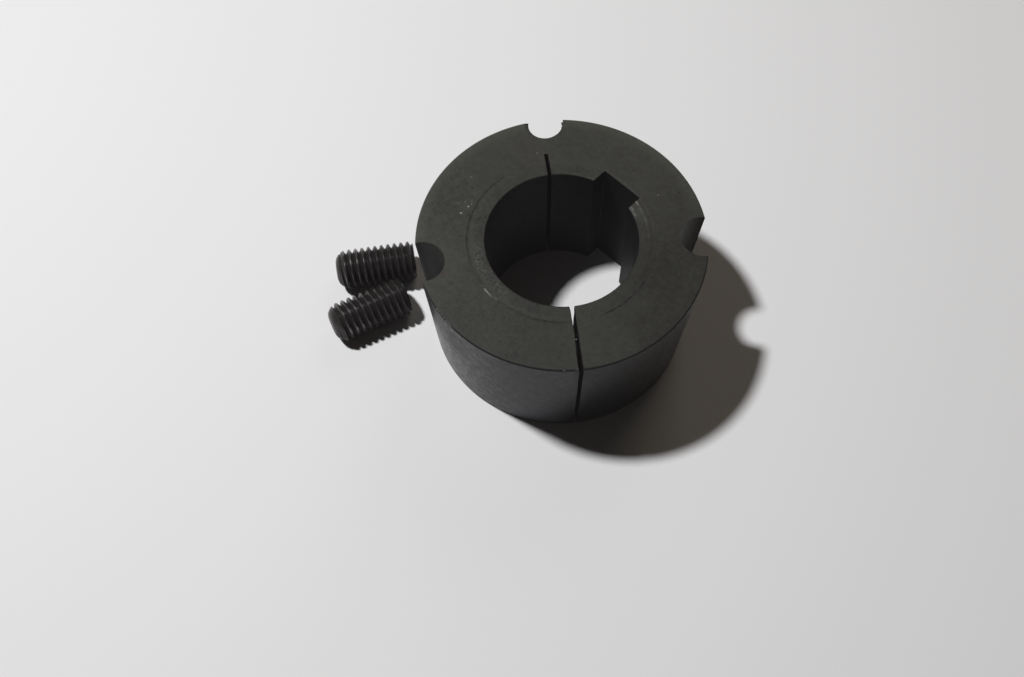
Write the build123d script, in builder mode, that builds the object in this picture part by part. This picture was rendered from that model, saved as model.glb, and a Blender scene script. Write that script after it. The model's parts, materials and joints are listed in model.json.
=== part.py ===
from build123d import *
from math import cos, radians, tan
import os

# Taper bush with a keyed bore, and the two set screws that clamp and release it.
# The bush stands on its small end. The screws are out of it and lie on the same surface.
# Millimetres and degrees. +Z runs up the bore, the origin is on the bore's axis in the
# small end's face, and +Y goes through the middle of the keyway.

# Body of the bush
bush_length = 44.45
large_end_dia = 85.72
taper_per_side = 4
bore_dia = 45
rim_chamfer = 0.5
small_end_chamfer = 0.6
bore_chamfer = 0.4

# Shallow turned ring in the large end's face, with a flat land between it and the bore
ring_land = 3.4
ring_width = 1.8
ring_depth = 0.25

# Keyway
key_angle = 90
key_width = 14
key_depth = 3.8

# Saw cut right through the wall, and the slot opposite, sawn part way, that lets the wall bend
split_angle = -39.4
split_width = 1.5
hinge_slot_angle = 142.5
hinge_slot_width = 1.2
hinge_slot_depth = 7.7

# Half-round holes along the taper: two plain ones for clamping, one tapped for jacking
screw_circle_inset = 1.585
clamp_angle_one = 44.9
clamp_angle_two = 235
jack_angle = 140.4
clamp_clearance = 0.6
clamp_extra_depth = 3.2
tapping_allowance = 2.3
jack_extra_depth = 6.4
drill_point_angle = 118

# Set screws, as plain shanks of the thread's outer diameter
thread_dia = 12.7
screw_length = 25.4
point_chamfer = 2.2
socket_end_chamfer = 1
socket_width = 6.35
socket_depth = 6.4

# Where the screws lie: screw 1 by its point, screw 2 by where its end meets screw 1
screw_one_reach = 32.8
screw_one_bearing = 215.2
screw_one_heading = 53
screw_crossing = 17.6
meeting_length = 20
lay_gap = 0.15

# Length by which a cut runs past the face that it opens through
overrun = 1

bore_radius = bore_dia / 2
large_end_radius = large_end_dia / 2
thread_radius = thread_dia / 2
screw_circle_radius = large_end_radius - screw_circle_inset
clamp_radius = (thread_dia + clamp_clearance) / 2
clamp_depth = screw_length + clamp_extra_depth
jack_radius = (thread_dia - tapping_allowance) / 2
jack_depth = screw_length + jack_extra_depth

# Each half-round hole as (angle, radius, depth)
half_holes = (
    (clamp_angle_one, clamp_radius, clamp_depth),
    (clamp_angle_two, clamp_radius, clamp_depth),
    (jack_angle, jack_radius, jack_depth),
)


def taper_radius(height):
    """Radius of the outer cone at a height above the small end."""
    return large_end_radius - (bush_length - height) * tan(radians(taper_per_side))


def radial_slot(angle, width, inner, outer):
    """Plan of a slot of one width that runs from one radius out to another."""
    with BuildSketch() as slot:
        with Locations(Location((0, 0, 0), (0, 0, angle))):
            with Locations(((inner + outer) / 2, 0)):
                Rectangle(outer - inner, width)
    return slot.sketch


with BuildPart() as bush:
    # Turned body: cone, faces, bore and the ring round the bore
    ring_inner_radius = bore_radius + ring_land
    ring_outer_radius = ring_inner_radius + ring_width
    with BuildSketch(Plane.XZ):
        with BuildLine():
            Polyline(
                (bore_radius, 0),
                (taper_radius(0) - small_end_chamfer, 0),
                (taper_radius(small_end_chamfer), small_end_chamfer),
                (taper_radius(bush_length - rim_chamfer), bush_length - rim_chamfer),
                (large_end_radius - rim_chamfer, bush_length),
                (ring_outer_radius, bush_length),
                (ring_outer_radius, bush_length - ring_depth),
                (ring_inner_radius, bush_length - ring_depth),
                (ring_inner_radius, bush_length),
                (bore_radius + bore_chamfer, bush_length),
                (bore_radius, bush_length - bore_chamfer),
                close=True,
            )
        make_face()
    revolve(axis=Axis.Z)

    # Keyway, the split through the wall, and the hinge slot that stops inside it
    extrude(
        radial_slot(key_angle, key_width, 0, bore_radius + key_depth)
        + radial_slot(split_angle, split_width, 0, large_end_radius + overrun)
        + radial_slot(hinge_slot_angle, hinge_slot_width, 0, bore_radius + hinge_slot_depth),
        amount=bush_length,
        mode=Mode.SUBTRACT,
    )

    # Blind screw holes with drill points, which the taper cuts in half
    for angle, radius, depth in half_holes:
        centre = Vector(screw_circle_radius, 0).rotate(Axis.Z, angle)
        floor = bush_length - depth
        tip = radius / tan(radians(drill_point_angle / 2))
        with BuildSketch(Plane.XY.offset(floor)):
            with Locations(centre):
                Circle(radius)
        extrude(amount=depth + overrun, mode=Mode.SUBTRACT)
        with Locations((centre.X, centre.Y, floor - tip / 2)):
            Cone(0, radius, tip, mode=Mode.SUBTRACT)


def build_set_screw(point, heading):
    """Makes a set screw lying on the surface, its point end over point, its axis along heading."""
    along = Vector(1, 0).rotate(Axis.Z, heading)
    start = point + Vector(0, 0, thread_radius)
    with BuildPart() as screw:
        # Turned blank: half section as (radius, distance from the point)
        with BuildSketch(Plane(start, x_dir=(0, 0, 1), z_dir=Vector(0, 0, 1).cross(along))):
            with BuildLine():
                Polyline(
                    (0, 0),
                    (thread_radius - point_chamfer, 0),
                    (thread_radius, point_chamfer),
                    (thread_radius, screw_length - socket_end_chamfer),
                    (thread_radius - socket_end_chamfer, screw_length),
                    (0, screw_length),
                    close=True,
                )
            make_face()
        revolve(axis=Axis(start, along))
        # Hexagon socket
        with BuildSketch(Plane(start + along * screw_length, x_dir=(0, 0, 1), z_dir=along)):
            RegularPolygon(socket_width / 2, 6, major_radius=False)
        extrude(amount=-socket_depth, mode=Mode.SUBTRACT)
    return screw


# Screw 1 lies off the small end's foot
foot_radius = taper_radius(0)
one_point = Vector(foot_radius + screw_one_reach, 0).rotate(Axis.Z, screw_one_bearing)

# Screw 2 leans its socket end against the side of screw 1, at meeting_length from its point
one_along = Vector(1, 0).rotate(Axis.Z, screw_one_heading)
one_side = Vector(0, -1).rotate(Axis.Z, screw_one_heading)
side_step = thread_radius * (1 + cos(radians(screw_crossing))) + lay_gap
meeting = one_point + one_along * meeting_length + one_side * side_step
screw_two_heading = screw_one_heading + screw_crossing
two_along = Vector(1, 0).rotate(Axis.Z, screw_two_heading)
two_point = meeting - two_along * (screw_length - socket_end_chamfer)

set_screw_1 = build_set_screw(one_point, screw_one_heading)
set_screw_2 = build_set_screw(two_point, screw_two_heading)

bush.part.label = "bush"
set_screw_1.part.label = "set_screw_1"
set_screw_2.part.label = "set_screw_2"

os.makedirs("parts", exist_ok=True)
export_step(bush.part, "parts/bush.step")
export_step(set_screw_1.part, "parts/set_screw_1.step")
export_step(set_screw_2.part, "parts/set_screw_2.step")
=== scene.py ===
import json
from math import cos, pi, radians, sin, tan

import bmesh
import bpy
from mathutils import Matrix, Vector, noise


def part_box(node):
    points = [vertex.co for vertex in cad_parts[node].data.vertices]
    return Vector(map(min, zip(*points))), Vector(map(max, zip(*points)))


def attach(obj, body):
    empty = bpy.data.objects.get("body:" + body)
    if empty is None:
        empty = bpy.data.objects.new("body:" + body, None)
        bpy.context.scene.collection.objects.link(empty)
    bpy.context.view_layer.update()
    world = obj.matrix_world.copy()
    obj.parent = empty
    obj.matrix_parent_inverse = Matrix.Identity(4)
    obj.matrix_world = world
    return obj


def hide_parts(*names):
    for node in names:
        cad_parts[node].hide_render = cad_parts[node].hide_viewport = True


# A split taper bush and its two set screws, in metres. +Z runs up the bore from the small end,
# and +Y goes through the middle of the keyway. The bush stands on its small end, and the screws
# lie beside it.

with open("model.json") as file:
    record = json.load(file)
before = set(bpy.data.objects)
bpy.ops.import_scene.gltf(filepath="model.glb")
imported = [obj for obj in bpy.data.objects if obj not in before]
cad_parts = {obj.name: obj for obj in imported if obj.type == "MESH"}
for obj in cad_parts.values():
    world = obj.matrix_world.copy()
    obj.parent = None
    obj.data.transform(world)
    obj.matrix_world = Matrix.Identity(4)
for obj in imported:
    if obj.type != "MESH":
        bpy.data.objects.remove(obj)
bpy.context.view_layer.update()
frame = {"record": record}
bush_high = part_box("bush")[1]
mounts = {mount["name"]: mount for mount in frame["record"]["mounts"]}

mm = 0.001
up = Vector((0, 0, 1))

# Turned body
bush_length = bush_high.z
bore_radius = mounts["shaft_bore"]["dims"]["r_mm"] * mm
large_end_radius = 42.86 * mm
taper = radians(4)
turned_steps = 256

# Ring in the large end's face, turned a little off the bore's centre
ring_inner = 25.8 * mm
ring_outer = 27.6 * mm
ring_depth = 0.035 * mm
ring_offset = 0.27 * mm
ring_offset_angle = radians(262)

# Keyway, split and hinge slot
key_width = 14 * mm
key_depth = 3.8 * mm
split_angle = radians(-39.4)
split_width = 1.5 * mm
split_reach = 46 * mm
split_closing = 0.15
split_burr = 0.25 * mm
hinge_angle = radians(142.5)
hinge_width = 1.2 * mm
hinge_reach = bore_radius + 7.7 * mm

# Grain of swarf in the split, by its centre in millimetres
swarf_centre = (25.48, -21.1, 44.1)
swarf_radius = 0.26

# Half-round screw holes
clamp_hole_radius = 6.65 * mm
clamp_hole_depth = 28.6 * mm
jack_hole_radius = 5.2 * mm
jack_hole_depth = 31.8 * mm
drill_point = radians(59)
tapped_length = 26 * mm
tap_start = radians(-95)
hole_steps = 96

# Set screws
thread_radius = 6.35 * mm
thread_pitch = 25.4 * mm / 12
thread_depth = 1.3 * mm
thread_steps = 64
screw_length = 25.4 * mm
end_chamfer = 1 * mm
socket_across_flats = 6.35 * mm
socket_depth = 6.4 * mm

# Camera: its place in metres, where it looks in degrees, and its lens in millimetres
camera_place = Vector((0.12266, -0.14111, 0.34829))
camera_bearing = 135.67
camera_drop = 63.12
camera_roll = -1.42
camera_lens = 42.84

# Colours of the bush's coat, of what lies on it, and of light and shade painted on it
face_grey = (0.0262, 0.0268, 0.0225)
taper_grey = (0.0125, 0.013, 0.0142)
# Painted reflection of the bright floor on the front of the taper
painted_reflection_blue = (0.0186, 0.0203, 0.0244)
stain_grey = (0.027, 0.0275, 0.0275)
bore_black = (0.0045, 0.004, 0.004)
rust_brown = (0.034, 0.023, 0.018)
# Worn bright coat, and painted glints at the rim
worn_and_glint_grey = (0.19, 0.19, 0.18)
# Grime, and painted shade in the ring's outer corner
oil_and_shade_black = (0.002, 0.002, 0.002)
dust_grey = (0.2, 0.2, 0.19)

# The marks below are in millimetres, and in degrees round the bore.

# Stretches of a circle on the face that are rubbed bright: radius, half width, start, end and
# fade, then how bright each is evenly, in breaks and in scratches
rubbed_stretches = (
    (25.5, 0.42, 71.5, 76, 1.5, 0.75, 0, 0),
    (25.5, 0.6, 56, 71, 3, 0.06, 0.14, 0),
    (25.4, 0.35, 44, 56, 2, 0.06, 0, 0),
    (23.2, 0.42, 63, 73, 2, 0.2, 0.4, 0),
    (24.3, 1.6, 60, 76, 6, 0.04, 0, 0.08),
    (24.7, 2.0, 228, 275, 6, 0, 0, 0.14),
    (26.0, 0.6, 234, 248, 3, 0, 0, 0.2),
    (27.9, 0.42, 261, 267.6, 1.4, 0.4, 0.6, 0),
    (27.6, 0.4, 268, 272, 1.4, 0.09, 0.21, 0),
    (27.7, 0.4, 256, 262, 2, 0, 0.12, 0),
    (23.3, 0.35, 108, 141, 4, 0, 0, 0.06),
)

# Stretches of the ring's outer corner darkened by grime and painted shade: half width, start, end,
# fade and darkness
grime_and_shade_stretches = (
    (0.5, 338, 400, 6, 1),
    (0.5, -40, 20, 8, 1),
    (0.45, 20, 50, 8, 0.5),
    (0.55, 172, 228, 5, 0.8),
    (0.45, 228, 246, 6, 0.4),
    (0.5, 291, 316, 5, 1),
)

# Dust specks on the face: x, y, radius and brightness
dust_specks = (
    (-27.46, -11.15, 0.42, 1),
    (-27.35, -14.28, 0.45, 1),
    (-27.36, -9.9, 0.4, 0.3),
    (-28.0, -9.26, 0.35, 0.2),
    (-29.36, -10.57, 0.4, 0.2),
    (-30.4, -12.4, 0.5, 0.15),
    (-34.35, -3.19, 0.4, 0.3),
    (-26.1, 16.8, 0.42, 0.3),
    (10.2, 30.8, 0.5, 0.2),
    (-2.5, -24.0, 0.8, 0.1),
)


def cone_radius(height):
    """Radius of the outer taper at a height above the small end."""
    return large_end_radius - (bush_length - height) * tan(taper)


def polar(radius, angle, height=0.0):
    """A point given by its radius from the bore's axis, its angle and its height."""
    return Vector((radius * cos(angle), radius * sin(angle), height))


# ---------------------------------------------------------------- mesh helpers


def finish_piece(name, bm):
    """Turns a bmesh into an object at the origin, with its faces pointing outwards."""
    bmesh.ops.recalc_face_normals(bm, faces=bm.faces)
    mesh = bpy.data.meshes.new(name)
    bm.to_mesh(mesh)
    bm.free()
    piece = bpy.data.objects.new(name, mesh)
    bpy.context.scene.collection.objects.link(piece)
    return piece


def chain(bm, profile):
    """Adds an open chain of edges through (radius, height) pairs, and returns its geometry."""
    corners = [bm.verts.new((radius, 0, height)) for radius, height in profile]
    return corners + [bm.edges.new(pair) for pair in zip(corners, corners[1:])]


def turn(profile, steps):
    """Spins a profile of (radius, height) pairs all the way round the Z axis."""
    bm = bmesh.new()
    bmesh.ops.spin(
        bm,
        geom=chain(bm, profile),
        cent=(0, 0, 0),
        axis=up,
        angle=2 * pi,
        steps=steps,
        use_merge=True,
    )
    bmesh.ops.remove_doubles(bm, verts=bm.verts, dist=0.001 * mm)
    return bm


def rotate(bm, matrix):
    """Turns a whole bmesh about the origin."""
    bmesh.ops.rotate(bm, cent=(0, 0, 0), matrix=matrix, verts=bm.verts)


def block(low, high):
    """A box from one corner to another."""
    bm = bmesh.new()
    bmesh.ops.create_cube(bm, size=1)
    bmesh.ops.scale(bm, vec=high - low, verts=bm.verts)
    bmesh.ops.translate(bm, vec=(low + high) / 2, verts=bm.verts)
    return bm


def cut(piece, cutter, operation="DIFFERENCE"):
    """Cuts one piece with another and removes the cutter."""
    modifier = piece.modifiers.new("cut", "BOOLEAN")
    modifier.operation = operation
    modifier.solver = "EXACT"
    modifier.object = cutter
    bpy.context.view_layer.update()
    graph = bpy.context.evaluated_depsgraph_get()
    result = bpy.data.meshes.new_from_object(piece.evaluated_get(graph))
    piece.modifiers.clear()
    piece.data = result
    bpy.data.objects.remove(cutter)


def shade(piece, angle):
    """Smooth shading, with edges sharper than the angle kept crisp and level faces kept flat."""
    piece.data.shade_smooth()
    piece.data.set_sharp_from_angle(angle=angle)
    for face in piece.data.polygons:
        if abs(face.normal.z) > 0.99999:
            face.use_smooth = False


def thread_rod(outer_radius, depth, pitch, length, steps):
    """A rod with a rounded 55 degree thread up the Z axis, over two pitches longer at each end."""
    root = outer_radius - depth
    middle = pitch / 2
    crest = 0.16 * pitch
    profile = [
        (root, 0),
        (root + depth * 0.07, 0.07 * pitch),
        (outer_radius - depth * 0.1, middle - crest),
        (outer_radius, middle - crest / 2),
        (outer_radius, middle + crest / 2),
        (outer_radius - depth * 0.1, middle + crest),
        (root + depth * 0.07, 0.93 * pitch),
        (root, pitch),
    ]
    turns = int(length / pitch) + 5
    start = -3 * pitch
    bm = bmesh.new()
    bmesh.ops.spin(
        bm,
        geom=chain(bm, [(radius, start + height) for radius, height in profile]),
        cent=(0, 0, 0),
        axis=up,
        dvec=up * pitch / steps,
        angle=2 * pi * turns,
        steps=steps * turns,
    )
    bmesh.ops.remove_doubles(bm, verts=bm.verts, dist=0.005 * mm)
    for height in (start - pitch, start + (turns + 2) * pitch):
        close_end(bm, height, 3 * pitch)
    return bm


def close_end(bm, height, reach):
    """Closes the open rim that lies within reach of a height, with a cone to a point on the axis."""
    rim = [e for e in bm.edges if e.is_boundary and abs(e.verts[0].co.z - height) < reach]
    grown = bmesh.ops.extrude_edge_only(bm, edges=rim)["geom"]
    for vert in grown:
        if isinstance(vert, bmesh.types.BMVert):
            vert.co = (0, 0, height)
    bmesh.ops.remove_doubles(bm, verts=bm.verts, dist=0.005 * mm)


# ---------------------------------------------------------------- the bush


def turned_body():
    """The bush as it leaves the lathe: taper, faces and bore, each edge broken."""
    top = bush_length
    profile = [
        (bore_radius, 0.3 * mm),
        (bore_radius + 0.3 * mm, 0),
        (cone_radius(0) - 0.8 * mm, 0),
        (cone_radius(0) - 0.5 * mm, 0.1 * mm),
        (cone_radius(0.6 * mm), 0.6 * mm),
        (cone_radius(top - 0.5 * mm), top - 0.5 * mm),
        (large_end_radius - 0.15 * mm, top - 0.12 * mm),
        (large_end_radius - 0.5 * mm, top),
        (bore_radius + 0.35 * mm, top),
        (bore_radius + 0.1 * mm, top - 0.1 * mm),
        (bore_radius, top - 0.35 * mm),
        (bore_radius, 0.3 * mm),
    ]
    return finish_piece("taper_bush", turn(profile, turned_steps))


def ring_cutter():
    """The shallow ring, turned with gentle slopes."""
    top = bush_length
    floor = top - ring_depth
    profile = [
        (ring_inner - 0.1 * mm, top + 1 * mm),
        (ring_inner - 0.1 * mm, top + 0.008 * mm),
        (ring_inner + 0.9 * mm, floor),
        (ring_outer - 0.35 * mm, floor),
        (ring_outer, top + 0.01 * mm),
        (ring_outer, top + 1 * mm),
        (ring_inner - 0.1 * mm, top + 1 * mm),
    ]
    bm = turn(profile, turned_steps)
    bmesh.ops.translate(bm, vec=polar(ring_offset, ring_offset_angle), verts=bm.verts)
    return finish_piece("ring_cutter", bm)


def keyway_cutter():
    """A flat-bottomed slot in the bore's wall, its inner corners lightly rounded."""
    low = Vector((-key_width / 2, 0, -5 * mm))
    high = Vector((key_width / 2, bore_radius + key_depth, bush_length + 5 * mm))
    bm = block(low, high)
    corners = [
        edge
        for edge in bm.edges
        if edge.calc_length() > bush_length and edge.verts[0].co.y > bore_radius
    ]
    bmesh.ops.bevel(
        bm,
        geom=corners,
        offset=0.25 * mm,
        offset_type="OFFSET",
        affect="EDGES",
        segments=3,
        profile=0.5,
        material=-1,
    )
    return finish_piece("keyway_cutter", bm)


def saw_cutter(name, angle, width, outer, roughness, burr=0.0, closing=0.0):
    """A saw cut from the bore out to a radius: a thin slab whose two sides wander a little.

    A burr narrows the cut near the bore and at the taper. Closing is the share by which the cut
    narrows from the face to the foot, where it also leans."""
    low = Vector((10 * mm, -width / 2, -2 * mm))
    high = Vector((outer, width / 2, bush_length + 2 * mm))
    bm = block(low, high)
    for axis in (0, 2):
        edges = [e for e in bm.edges if abs(e.verts[0].co[axis] - e.verts[1].co[axis]) > mm]
        bmesh.ops.subdivide_edges(bm, edges=edges, cuts=63, use_grid_fill=True)
    for vert in bm.verts:
        # The two sides read the noise at places far apart, so they wander differently
        side = 5 * mm if vert.co.y > 0 else -5 * mm
        spot = Vector((vert.co.x, side, vert.co.z * 0.4))
        wander = noise.noise(spot / (0.9 * mm)) + noise.noise(spot / (3.5 * mm))
        vert.co.y += roughness * wander
        below = 1 - vert.co.z / bush_length
        vert.co.y *= 1 - closing * below
        vert.co.y += closing * 0.1 * (vert.co.x - 29 * mm) * below
        inside = min(1, max(0, (vert.co.x - bore_radius) / (1.5 * mm)))
        inside *= min(1, max(0, (40 * mm - vert.co.x) / (8 * mm)))
        outside = min(1, max(0, 1 - (cone_radius(vert.co.z) - vert.co.x) / (1.2 * mm)))
        if vert.co.y < 0:
            vert.co.y += burr * inside * (1 + 0.5 * noise.noise(spot / (0.6 * mm)))
            vert.co.y += burr * outside
    rotate(bm, Matrix.Rotation(angle, 3, "Z"))
    return finish_piece(name, bm)


def swarf():
    """A grain of bright swarf caught at the top of the split."""
    bm = bmesh.new()
    bmesh.ops.create_icosphere(bm, subdivisions=2, radius=swarf_radius * mm)
    bmesh.ops.translate(bm, vec=Vector(swarf_centre) * mm, verts=bm.verts)
    return finish_piece("swarf", bm)


def hole_cutter(mount, radius, depth):
    """A blind hole with a drill point, under a mount on the large end's face."""
    tip = radius / tan(drill_point)
    profile = [(0, -depth - tip), (radius, -depth), (radius, 5 * mm), (0, 5 * mm)]
    bm = turn(profile, hole_steps)
    bmesh.ops.translate(bm, vec=Vector(mounts[mount]["pos_m"]), verts=bm.verts)
    return finish_piece("hole_cutter", bm)


def tap_cutter():
    """The thread of the jack hole, which stops short of the hole's drill point."""
    outer = thread_radius + 0.05 * mm
    bm = thread_rod(outer, 1.25 * mm, thread_pitch, tapped_length, thread_steps)
    bmesh.ops.bisect_plane(
        bm,
        geom=bm.verts[:] + bm.edges[:] + bm.faces[:],
        dist=0.0001 * mm,
        plane_co=(0, 0, 0),
        plane_no=(0, 0, -1),
        clear_outer=True,
    )
    bmesh.ops.holes_fill(bm, edges=[edge for edge in bm.edges if edge.is_boundary])
    spot = Vector(mounts["jack_hole"]["pos_m"]) - up * tapped_length
    rotate(bm, Matrix.Rotation(tap_start, 3, "Z"))
    bmesh.ops.translate(bm, vec=spot, verts=bm.verts)
    return finish_piece("tap_cutter", bm)


def build_bush():
    """The finished bush, which stands in for its plain solid."""
    bush = turned_body()
    cut(bush, ring_cutter())
    cut(bush, keyway_cutter())
    split = saw_cutter(
        "split_cutter",
        split_angle,
        split_width,
        split_reach,
        roughness=0.12 * mm,
        burr=split_burr,
        closing=split_closing,
    )
    cut(bush, split)
    hinge = saw_cutter("hinge_cutter", hinge_angle, hinge_width, hinge_reach, 0.07 * mm)
    cut(bush, hinge)
    for mount in ("clamp_hole_one", "clamp_hole_two"):
        cut(bush, hole_cutter(mount, clamp_hole_radius, clamp_hole_depth))
    cut(bush, hole_cutter("jack_hole", jack_hole_radius, jack_hole_depth))
    cut(bush, tap_cutter())
    cut(bush, swarf(), "UNION")
    shade(bush, radians(12))
    return bush


# ---------------------------------------------------------------- the set screws


def lay_screw(bm, mount):
    """Moves a screw built up the Z axis from its point to where its socket mount says it lies."""
    along = Vector(mounts[mount]["axis"]).normalized()
    rotate(bm, up.rotation_difference(along).to_matrix())
    spot = Vector(mounts[mount]["pos_m"]) - along * screw_length
    bmesh.ops.translate(bm, vec=spot, verts=bm.verts)


def screw_blank():
    """The screw's outer form: a rounded cone point, a shank past the crests and a chamfered end."""
    shank = thread_radius + 0.5 * mm
    profile = [
        (0, 0),
        (3.2 * mm, 0),
        (4.2 * mm, 0.35 * mm),
        (5.1 * mm, 1.1 * mm),
        (5.8 * mm, 2.1 * mm),
        (shank, 3.9 * mm),
        (shank, screw_length - end_chamfer - (shank - thread_radius)),
        (thread_radius - end_chamfer, screw_length),
        (0, screw_length),
    ]
    return turn(profile, hole_steps)


def socket_cutter():
    """A hexagon socket in the screw's end."""
    corner_radius = socket_across_flats / 2 / cos(pi / 6)
    bm = bmesh.new()
    bmesh.ops.create_cone(
        bm,
        cap_ends=True,
        segments=6,
        radius1=corner_radius,
        radius2=corner_radius,
        depth=2 * socket_depth,
    )
    bmesh.ops.translate(bm, vec=up * screw_length, verts=bm.verts)
    return bm


def build_screw(name, mount, first_crest):
    """A socket set screw. first_crest is where a thread crest passes its top, from its point."""
    rod = thread_rod(thread_radius, thread_depth, thread_pitch, screw_length, thread_steps)
    bmesh.ops.translate(rod, vec=up * (first_crest - thread_pitch / 2), verts=rod.verts)
    lay_screw(rod, mount)
    screw = finish_piece(name, rod)
    blank = screw_blank()
    lay_screw(blank, mount)
    cut(screw, finish_piece("blank", blank), "INTERSECT")
    socket = socket_cutter()
    lay_screw(socket, mount)
    cut(screw, finish_piece("socket", socket))
    shade(screw, radians(35))
    return screw


# ---------------------------------------------------------------- materials


class Wire:
    """A node's output. Sums on it add Math nodes to its material."""

    def __init__(self, finish, socket):
        self.finish = finish
        self.socket = socket

    def __add__(self, other):
        return self.finish.sum("ADD", self, other)

    def __sub__(self, other):
        return self.finish.sum("SUBTRACT", self, other)

    def __rsub__(self, other):
        return self.finish.sum("SUBTRACT", other, self)

    def __mul__(self, other):
        return self.finish.sum("MULTIPLY", self, other)

    def __pow__(self, other):
        return self.finish.sum("POWER", self, other)

    def __abs__(self):
        return self.finish.sum("ABSOLUTE", self)

    __radd__ = __add__
    __rmul__ = __mul__


class Finish:
    """A material in the making. Its lengths are millimetres, read from the piece's own place."""

    def __init__(self, name):
        self.material = bpy.data.materials.new(name)
        self.material.use_nodes = True
        self.tree = self.material.node_tree
        self.shader = self.tree.nodes["Principled BSDF"]
        place = self.node("ShaderNodeTexCoord", "Object")
        self.place = self.node(
            "ShaderNodeVectorMath", "Vector", {"operation": "SCALE"}, {0: place, "Scale": 1000}
        )

    def node(self, kind, output, settings=None, inputs=None):
        """Adds a node, with its settings first, and returns one of its outputs."""
        made = self.tree.nodes.new(kind)
        for name, value in (settings or {}).items():
            setattr(made, name, value)
        for key, value in (inputs or {}).items():
            self.feed(made.inputs[key], value)
        return Wire(self, made.outputs[output])

    def feed(self, socket, value):
        """Links a socket to a wire, or sets its value."""
        if isinstance(value, Wire):
            self.tree.links.new(value.socket, socket)
        else:
            socket.default_value = value

    def sum(self, operation, *values):
        """A Math node."""
        inputs = dict(enumerate(values))
        return self.node("ShaderNodeMath", "Value", {"operation": operation}, inputs)

    def axes(self, place):
        """The three numbers of a vector."""
        split = self.node("ShaderNodeSeparateXYZ", "X", inputs={"Vector": place})
        outputs = split.socket.node.outputs
        return split, Wire(self, outputs["Y"]), Wire(self, outputs["Z"])

    def bearing(self, y, x):
        """The angle round the Z axis, from 0 to 360 degrees."""
        turned = self.sum("ARCTAN2", y, x) * (180 / pi)
        return self.sum("WRAP", turned, 360, 0)

    def scale(self, colour, amount):
        """A colour made brighter or darker by an amount."""
        return self.node(
            "ShaderNodeVectorMath", "Vector", {"operation": "SCALE"}, {0: colour, "Scale": amount}
        )

    def ramp(self, value, low, high):
        """0 below low, 1 above high, and smooth between them. high may be the lower one."""
        return self.node(
            "ShaderNodeMapRange",
            "Result",
            {"interpolation_type": "SMOOTHSTEP"},
            {"Value": value, "From Min": low, "From Max": high},
        )

    def grain(self, size, detail=3.0, roughness=0.55):
        """Cloudy noise round 0.5, with lumps of about the size given in millimetres."""
        return self.node(
            "ShaderNodeTexNoise",
            "Fac",
            inputs={
                "Vector": self.place,
                "Scale": 1 / size,
                "Detail": detail,
                "Roughness": roughness,
            },
        )

    def blend(self, share, first, second):
        """A colour between two colours."""
        return self.node(
            "ShaderNodeMix",
            2,
            {"data_type": "RGBA", "clamp_factor": True},
            {0: share, 6: as_colour(first), 7: as_colour(second)},
        )

    def relief(self, height, depth):
        """Feeds the shader's normal from a height of 0 to 1, over a depth in millimetres."""
        normal = self.node(
            "ShaderNodeBump", "Normal", inputs={"Height": height, "Distance": depth * mm}
        )
        self.feed(self.shader.inputs["Normal"], normal)

    def set(self, **sockets):
        """Feeds the shader's sockets, named with underscores for spaces."""
        for name, value in sockets.items():
            self.feed(self.shader.inputs[name.replace("_", " ")], value)


def as_colour(value):
    """A colour of three numbers with its alpha, or a wire as it is."""
    return value if isinstance(value, Wire) else (*value, 1)


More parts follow.
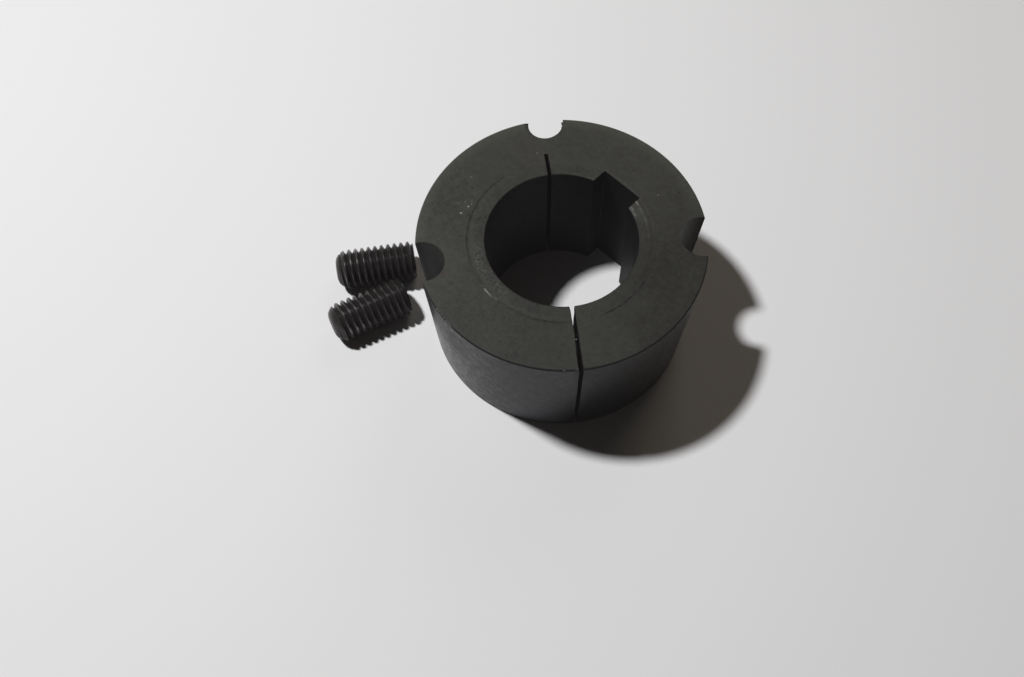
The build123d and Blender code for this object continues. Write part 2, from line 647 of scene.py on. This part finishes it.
class BushCoat(Finish):
    """The bush's phosphate coat. It knows where on the bush the surface lies."""

    def __init__(self, name):
        super().__init__(name)
        top = bush_length / mm
        rim_radius = large_end_radius / mm
        inner = bore_radius / mm
        self.x, self.y, self.z = self.axes(self.place)
        self.radius = self.away(0, 0)
        self.angle = self.bearing(self.y, self.x)

        # Face, taper, rim and inside, then parts of the taper and of the inside
        self.face = self.ramp(self.z, top - 0.5, top - 0.4)
        lean = self.radius + (top - self.z) * tan(taper) - rim_radius
        self.outside = self.ramp(lean, -0.45, -0.3) * (1 - self.face)
        self.rim = self.ramp(self.radius + self.z - (rim_radius + top), -0.52, -0.4)
        self.inside = (1 - self.face) * (1 - self.outside)
        self.near_bore = self.ramp(self.radius, inner + 8, inner + 4) * self.inside
        # The left clamp hole's wall, which is painted darker as shade and made a little rougher
        self.left_hole = self.toward(235, 12, 10) * self.inside
        self.past_split = self.ramp(self.angle, 317, 321)
        self.shadow_side = self.outside * self.ramp(self.angle, 309, 326)

        # Grain that colour, polish and relief share
        self.fine = self.grain(0.5, 3, 0.6)
        self.cloud = self.grain(1.5, 4, 0.62)
        self.broken = self.ramp(self.grain(1.1, 3), 0.38, 0.6)
        self.scratchy = self.ramp(self.grain(0.7, 2), 0.44, 0.62)

        # Stains on the left of the taper, and duller patches high on it, which are also painted
        # darker as shade
        flank = self.ramp(self.angle, 228, 244) * self.ramp(self.angle, 304, 276) * self.outside
        self.stains = flank * self.ramp(self.grain(2.1, 5, 0.68), 0.42, 0.7)
        dull_and_shaded = self.toward(254, 24, 10) * self.ramp(self.z, 20, 32)
        dull_and_shaded = dull_and_shaded + self.past_split * self.ramp(self.angle, 334, 326) * self.ramp(self.z, 34, 40)
        self.dull_and_shaded = dull_and_shaded + self.toward(21, 14, 6) * self.ramp(self.z, 28, 36)

    def toward(self, bearing, outer, inner):
        """1 within the inner number of degrees of a bearing, and 0 beyond the outer one."""
        return self.ramp(abs(self.angle - bearing), outer, inner)

    def away(self, x, y):
        """The distance from an upright line through a point."""
        across = self.x - x
        along = self.y - y
        return (across * across + along * along) ** 0.5

    def spot(self, x, y, size):
        """A soft round spot on the face."""
        return self.ramp(self.away(x, y), size, size * 0.4) * self.ramp(self.z, 44, 44.2)

    def stretch(self, radius, at, half_width, start, end, fade):
        """A soft stretch of a circle, between two bearings."""
        across = self.ramp(abs(radius - at), half_width, half_width * 0.3)
        begins = self.ramp(self.angle, start - fade, start + fade)
        ends = self.ramp(self.angle, end + fade, end - fade)
        return across * begins * ends

    def painted_sheen_shade_and_tone(self):
        """How much lighter or darker the face is at each place: painted sheen and shade, and changes
        in its tone.
        """
        # Painted sheen rising towards the back, and painted shade towards the right and by the bore
        # there
        across = (self.y * 0.77 - self.x * 0.64) * 0.005
        right = self.ramp(self.x + self.y * 0.5, 16, 42) * 0.3
        by_bore = self.ramp(self.away(25, 11), 13, 2) * 0.22
        land = self.ramp(self.radius, 26, 25) * self.toward(200, 125, 80) * 0.18
        edge = self.ramp(self.radius, 38.5, 42.3) * self.toward(143, 95, 75) * 0.5
        front_left = self.ramp(self.away(-20, -36), 18, 6) * 0.2
        front_right = self.toward(334, 15, 6) * 0.1
        smudges = self.ramp(self.grain(3, 3, 0.6), 0.54, 0.66) * self.toward(240, 75, 30) * 0.14
        lighter = edge + front_left + front_right
        darker = right + by_bore + land + smudges
        return across + lighter - darker

    def base_colour(self):
        """The coat's colour on the face, on the taper and inside, mottled, with painted light and
        shade.
        """
        # Painted reflection: the front of the taper is lighter and bluer, as the bright floor shows
        # in it
        front = self.ramp(self.angle, 272, 296) * self.ramp(self.angle, 322, 306) * self.outside
        colour = self.blend(self.outside, face_grey, taper_grey)
        colour = self.blend(self.near_bore, colour, bore_black)
        colour = self.blend(front, colour, painted_reflection_blue)
        colour = self.blend(self.stains, colour, stain_grey)

        marked = 0.6 + self.toward(240, 75, 40) * 0.6
        mottle = ((self.fine - 0.5) * 1.3 + (self.cloud - 0.5) * 1.3) * marked
        mottle = mottle + (self.grain(13, 2) - 0.5) * 0.5
        # Painted bounce light from the floor, low on the front of the taper
        foot = front * self.ramp(self.z, 14, 2) * 0.8
        # Painted shade on the taper: past the split, most of it high up, at the far right and on the
        # dull patches
        high = self.ramp(self.z, 30, 41) * 0.25
        step = self.past_split * self.ramp(self.angle, 350, 325) * (0.2 + high * 1.8)
        step = step + self.dull_and_shaded * 0.3 + self.ramp(self.angle, 350, 359) * 0.1
        step = step + self.toward(18, 16, 8) * high
        lighter = mottle + self.painted_sheen_shade_and_tone() * self.face + foot
        # Painted shade on the taper's shadow side, inside the bush, and more in the left clamp hole
        darker = self.shadow_side * 0.4 + self.inside * 0.2 + self.left_hole * 0.3
        colour = self.scale(colour, 1 + lighter - darker - step * self.outside)

        # Rust tints beside the hinge slot and by a clamp hole
        by_slot = self.toward(151, 8, 2) * self.ramp(abs(self.radius - 32), 6, 2) * 0.25
        rust = (by_slot * self.cloud * 2 + self.spot(-16.6, -32.6, 1.2) * 0.6) * self.face
        return self.blend(rust, colour, rust_brown)

    def rubbed_and_glints(self):
        """Where the coat is worn bright along the ring and by the bore, and the painted glints at
        the rim.
        """
        marks = 0
        for at, half_width, start, end, fade, even, breaks, scratches in rubbed_stretches:
            shine = even + self.broken * breaks + self.scratchy * scratches
            marks = marks + self.stretch(self.radius, at, half_width, start, end, fade) * shine
        # Painted glints on the rim, and a painted highlight along its back
        edge = self.toward(261, 9, 4) * self.scratchy * 0.6
        edge = edge + self.toward(314.2, 0.7, 0.3) * 0.5 + self.toward(318.9, 0.7, 0.3) * 0.4
        edge = edge + self.toward(135, 85, 70) * 0.22
        return marks * self.face + edge * self.rim

    def grime_and_shade(self):
        """Darker marks: grime and painted shade in the ring's outer corner, and darker at the bore's
        right edge and the front rim.
        """
        ring_centre = polar(ring_offset, ring_offset_angle) / mm
        ring_radius = self.away(ring_centre.x, ring_centre.y)
        corner = ring_outer / mm - 0.03
        # Grime and painted shade along the ring's outer corner
        marks = 0
        for half_width, start, end, fade, darkness in grime_and_shade_stretches:
            line = self.stretch(ring_radius, corner, half_width, start, end, fade)
            marks = marks + line * darkness
        front_to_right = self.ramp(self.angle, 236, 250) + self.ramp(self.angle, 46, 30)
        inner = bore_radius / mm
        edge = self.ramp(self.radius, inner + 0.5, inner + 0.3) * self.ramp(self.z, 43.9, 44.1)
        edge = edge * self.toward(22, 44, 36) * 0.5
        return marks * self.face * (0.3 + self.broken * 0.5) + self.rim * front_to_right * 0.9 + edge

    def dusty(self):
        """Dust specks on the face, and the bright grain of swarf."""
        marks = 0
        for x, y, size, brightness in dust_specks:
            marks = marks + self.spot(x, y, size) * brightness
        from_swarf = self.node(
            "ShaderNodeVectorMath",
            "Value",
            {"operation": "DISTANCE"},
            {0: self.place, 1: swarf_centre},
        )
        return marks + self.ramp(from_swarf, swarf_radius + 0.1, swarf_radius + 0.02) * 0.75

    def polish(self, darkening):
        """The coat's roughness: duller inside and under the darker marks, smoother on the taper."""
        inside = self.near_bore * 0.12 + self.left_hole * 0.07
        inside = inside + self.near_bore * self.toward(5, 40, 15) * 0.1
        outside = self.outside * (self.ramp(self.angle, 244, 300) * 0.15 + self.dull_and_shaded * 0.1 - 0.16)
        outside = outside - self.shadow_side * 0.12 - self.stains * 0.1
        grain = (self.fine - 0.5) * 0.25 + (self.cloud - 0.5) * 0.35
        return 0.52 + inside + outside + grain + darkening * 0.3


def phosphated_iron():
    """Turned iron under a dark phosphate coat: mottled and matt, with wear at its edges and painted
    light and shade in its colour.
    """
    coat = BushCoat("phosphated_iron")
    rubbed_and_glints = coat.rubbed_and_glints()
    darkening = coat.grime_and_shade() * (1 - rubbed_and_glints)
    colour = coat.blend(rubbed_and_glints, coat.base_colour(), worn_and_glint_grey)
    colour = coat.blend(darkening, colour, oil_and_shade_black)
    colour = coat.blend(coat.dusty(), colour, dust_grey)
    coat.set(Base_Color=colour, Roughness=coat.polish(darkening), Specular_IOR_Level=0.25)
    coat.relief(coat.fine * 0.6 + coat.cloud * 0.4, 0.02)
    return coat.material


def black_oxide(name, mount, shine):
    """Black oxide on a set screw. Its crests shine near the point, and by a share elsewhere."""
    finish = Finish(name)
    start = Vector(mounts[mount]["pos_m"]) / mm
    axis = Vector(mounts[mount]["axis"]).normalized()
    from_start = finish.node(
        "ShaderNodeVectorMath",
        "Vector",
        {"operation": "SUBTRACT"},
        {0: finish.place, 1: start},
    )
    off_axis = finish.node(
        "ShaderNodeVectorMath",
        "Vector",
        {"operation": "CROSS_PRODUCT"},
        {0: from_start, 1: axis},
    )
    across = finish.node(
        "ShaderNodeVectorMath", "Value", {"operation": "LENGTH"}, {0: off_axis}
    )
    along = finish.node(
        "ShaderNodeVectorMath", "Value", {"operation": "DOT_PRODUCT"}, {0: from_start, 1: axis}
    )
    height = finish.axes(finish.place)[2]

    # Where the surface lies: the upper half, the top, the crests, the point's half and its tip
    upper = finish.ramp(height, 6.5, 9.5)
    top = finish.ramp(height, 9.2, 11.4)
    crest = finish.ramp(across, thread_radius / mm - 0.35, thread_radius / mm - 0.05)
    near_point = finish.ramp(along, -12, -19)
    tip = finish.ramp(along, -21, -23.5)

    # The oxide is rubbed thin on the upper crests, which are also painted lighter there as the lit
    # side
    fine = finish.grain(0.5, 3)
    cloud = finish.grain(2.2, 3)
    oxide = finish.blend(cloud, (0.0135, 0.0118, 0.0122), (0.0192, 0.0172, 0.0165))
    worn = crest * upper * finish.ramp(cloud, 0.42, 0.6)
    oxide = finish.blend(worn * 0.5, oxide, (0.03, 0.027, 0.027))
    # Painted shading: on the lower half the grooves are painted lighter and the crests darker, and
    # the tip is painted lighter as a highlight
    oxide = finish.scale(oxide, 1 + (1 - upper) * (1.5 - crest * 2.2) + tip * 0.8)

    oiled = near_point + (1 - near_point) * top * shine
    finish.set(
        Base_Color=oxide,
        Roughness=0.46 - upper * 0.2 + (fine - 0.5) * 0.3 + (cloud - 0.5) * 0.2,
        Specular_IOR_Level=0.07,
        Coat_Weight=upper * (0.17 + crest * oiled * 0.7),
        Coat_Roughness=0.25,
        Coat_IOR=2.2,
    )
    finish.relief(fine * (1 - crest * 0.6), 0.02)
    return finish.material


def pale_floor():
    """A plain pale board."""
    finish = Finish("pale_floor")
    finish.set(Base_Color=(0.8, 0.8, 0.81, 1), Roughness=0.9)
    return finish.material


# ---------------------------------------------------------------- stage, light and camera


def build_stage():
    """A plain pale floor under the bush."""
    bm = bmesh.new()
    bmesh.ops.create_grid(bm, x_segments=1, y_segments=1, size=1.5)
    floor = finish_piece("floor", bm)
    floor.data.materials.append(pale_floor())


def add_lamp(name, bearing, height, distance, size, energy, colour=(1, 1, 1)):
    """A round soft lamp that looks at the origin from a bearing and a height in degrees."""
    lamp = bpy.data.lights.new(name, "AREA")
    lamp.shape = "DISK"
    lamp.size = size
    lamp.energy = energy
    lamp.color = colour
    holder = bpy.data.objects.new(name, lamp)
    away = polar(cos(radians(height)), radians(bearing), sin(radians(height)))
    holder.location = away * distance
    holder.rotation_mode = "QUATERNION"
    holder.rotation_quaternion = away.to_track_quat("Z", "Y")
    bpy.context.scene.collection.objects.link(holder)


def build_light():
    """A soft key lamp from the left, a wide weak lamp behind and a faint even fill."""
    add_lamp("key_light", bearing=205.4, height=63.9, distance=1.05, size=0.09, energy=9.85)
    add_lamp(
        "back_light",
        bearing=110,
        height=38,
        distance=1.3,
        size=0.8,
        energy=1.5,
        colour=(1.0, 0.87, 0.7),
    )
    world = bpy.data.worlds.new("fill")
    world.use_nodes = True
    world.node_tree.nodes["Background"].inputs["Color"].default_value = (1, 0.9, 0.8, 1)
    world.node_tree.nodes["Background"].inputs["Strength"].default_value = 0.015
    bpy.context.scene.world = world
    view = bpy.context.scene.view_settings
    view.view_transform = "Standard"
    view.use_curve_mapping = True
    view.curve_mapping.black_level = (-0.0055, -0.005, -0.005)


def build_camera():
    """The camera looks down on the bush from the side of the split."""
    lens = bpy.data.cameras.new("camera")
    lens.sensor_width = 36
    lens.lens = camera_lens
    camera = bpy.data.objects.new("camera", lens)
    heading = Matrix.Rotation(radians(camera_bearing - 90), 4, "Z")
    tilt = Matrix.Rotation(radians(90 - camera_drop), 4, "X")
    roll = Matrix.Rotation(radians(camera_roll), 4, "Z")
    camera.matrix_world = Matrix.Translation(camera_place) @ heading @ tilt @ roll
    bpy.context.scene.collection.objects.link(camera)
    bpy.context.scene.camera = camera


# ---------------------------------------------------------------- the scene


def place_piece(piece, material, node):
    """Gives a piece its finish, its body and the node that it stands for."""
    piece.data.materials.clear()
    piece.data.materials.append(material)
    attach(piece, "root")
    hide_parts(node)


build_stage()
build_light()
build_camera()

place_piece(build_bush(), phosphated_iron(), "bush")

# Each screw by its node, its mount, its first crest from its point, and its crests' shine
screws = (
    ("set_screw_1", "screw_socket_one", 3.57 * mm, 0.1),
    ("set_screw_2", "screw_socket_two", 2.59 * mm, 0.55),
)
for node, mount, first_crest, shine in screws:
    screw = build_screw(node + "_threaded", mount, first_crest)
    place_piece(screw, black_oxide(node + "_oxide", mount, shine), node)
